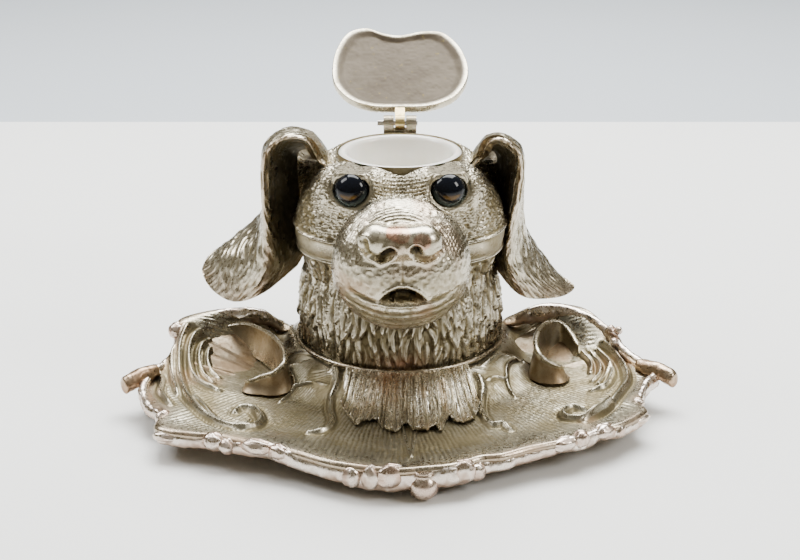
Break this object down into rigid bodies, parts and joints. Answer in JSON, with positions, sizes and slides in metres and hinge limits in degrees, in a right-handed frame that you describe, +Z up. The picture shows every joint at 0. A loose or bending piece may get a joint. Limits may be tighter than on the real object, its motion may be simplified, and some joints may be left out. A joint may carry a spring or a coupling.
{
  "type": "inkwell",
  "caption": "Hound's head inkwell with glass eyes and a hinged skull lid over a lift-out ink pot, on a scrolled tray with ball feet.",
  "frame": {"origin": "on the table, under the middle of the whole object's box", "axes": "+Z up; the hound looks along -Y; +X is to the viewer's right when the face is seen"},
  "size_m": [0.1854, 0.1622, 0.1115],
  "materials": {
    "silver_plate": "worn silver plate over a copper alloy",
    "worn_silver": "dull worn plate",
    "brass": "bare stained brass",
    "steel": "dull",
    "porcelain": "glazed cream white porcelain",
    "eye_glass": "clear polished, nearly black over its iris",
    "eye_enamel": "amber and black enamel"
  },
  "bodies": {
    "base": {"tray": "silver_plate", "front_foot": "silver_plate", "left_rear_foot": "silver_plate", "right_rear_foot": "silver_plate", "head": "silver_plate", "well_ring": "silver_plate", "left_ear": "silver_plate", "right_ear": "silver_plate", "left_eye": "eye_glass", "left_iris": "eye_enamel", "right_eye": "eye_glass", "right_iris": "eye_enamel", "base_screw_1": "steel", "base_washer_1": "steel", "base_screw_2": "steel", "base_washer_2": "steel", "base_screw_3": "steel", "base_washer_3": "steel", "hinge_bracket": "silver_plate", "hinge_pin": "steel"},
    "pot": {"ink_pot": "porcelain"},
    "lid": {"lid": "worn_silver", "lid_tongue": "brass"}
  },
  "joints": [
    {"name": "lid_hinge", "type": "hinge", "parent": "base", "child": "lid", "pos_m": [-0.0027, 0.03944, 0.086], "axis": [-1, 0, 0], "range_deg": [-150, 0]},
    {"name": "pot_turn", "type": "hinge", "parent": "base", "child": "pot", "pos_m": [-0.0027, 0.01344, 0.0812], "axis": [0, 0, 1], "continuous": true}
  ]
}
